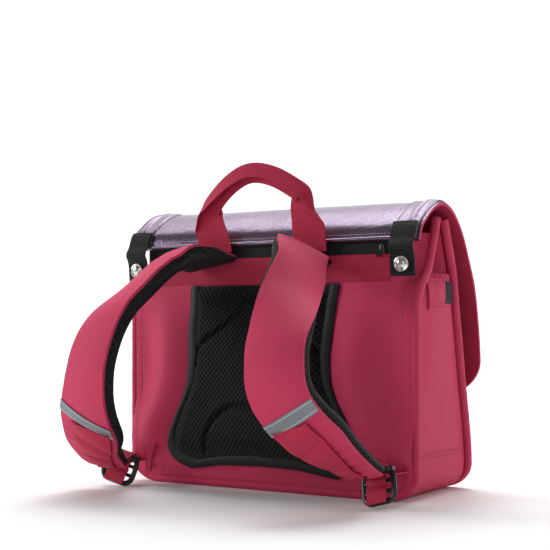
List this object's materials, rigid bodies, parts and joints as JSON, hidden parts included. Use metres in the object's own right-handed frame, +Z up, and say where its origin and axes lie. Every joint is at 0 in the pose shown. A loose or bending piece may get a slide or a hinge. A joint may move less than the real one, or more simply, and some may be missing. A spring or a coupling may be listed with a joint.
{
  "type": "school ransel",
  "caption": "Pink school satchel backpack seen from its carrying side: padded straps, mesh back pad, lilac metallic flap, webbing handle.",
  "frame": {"origin": "middle of the flat base, on the surface that the bag stands on", "axes": "+Z up, +X across the width to the wearer's right, +Y from the back panel to the front, so the back panel and its straps face -Y"},
  "size_m": [0.386, 0.3316, 0.364],
  "materials": {
    "pink_polyester": "coated polyester plain weave in raspberry pink, faint sheen",
    "pink_webbing": "ribbed polyester webbing, darker pink, matt",
    "black_webbing": "ribbed black webbing and smooth black binding",
    "spacer_mesh": "black air mesh with small oval holes over foam",
    "metallic_leatherette": "lilac metallic leatherette with a fine crinkled grain",
    "black_plastic": "moulded black plastic, satin",
    "reflective_tape": "grey reflective tape with pale lines",
    "silver_metal": "silver coloured pressed metal"
  },
  "bodies": {
    "root": {"back_panel": "pink_polyester", "front_panel": "pink_polyester", "gusset": "pink_polyester", "base_wrap": "pink_polyester", "back_piping": "pink_polyester", "front_piping": "pink_polyester", "front_pocket": "pink_polyester", "side_pocket_right": "pink_polyester", "side_pocket_left": "pink_polyester", "side_loop_right": "pink_webbing", "side_loop_left": "pink_webbing", "side_webbing_right": "black_webbing", "side_webbing_left": "black_webbing", "gusset_stud_right": "silver_metal", "gusset_stud_left": "silver_metal", "top_band": "pink_webbing", "hinge_strip": "black_webbing", "zip_slider": "black_plastic", "zip_pull": "black_webbing", "back_pad": "spacer_mesh", "pad_binding": "black_webbing", "flap": "metallic_leatherette", "flap_border_right": "metallic_leatherette", "flap_border_left": "metallic_leatherette", "flap_welt": "metallic_leatherette", "flap_clasp_right": "black_plastic", "flap_clasp_left": "black_plastic", "corner_tab_right": "black_webbing", "corner_tab_left": "black_webbing", "tab_snap_right": "silver_metal", "tab_snap_left": "silver_metal", "strap_cover_right": "pink_polyester", "strap_cover_left": "pink_polyester", "strap_mesh_right": "spacer_mesh", "strap_mesh_left": "spacer_mesh", "strap_tape_right": "reflective_tape", "strap_tape_left": "reflective_tape", "strap_webbing_right": "pink_webbing", "strap_webbing_left": "pink_webbing", "ladder_lock_right": "black_plastic", "ladder_lock_left": "black_plastic", "adjust_webbing_right": "pink_webbing", "adjust_webbing_left": "pink_webbing", "anchor_tab_right": "pink_polyester", "anchor_tab_left": "pink_polyester", "handle": "pink_webbing"}
  },
  "joints": []
}
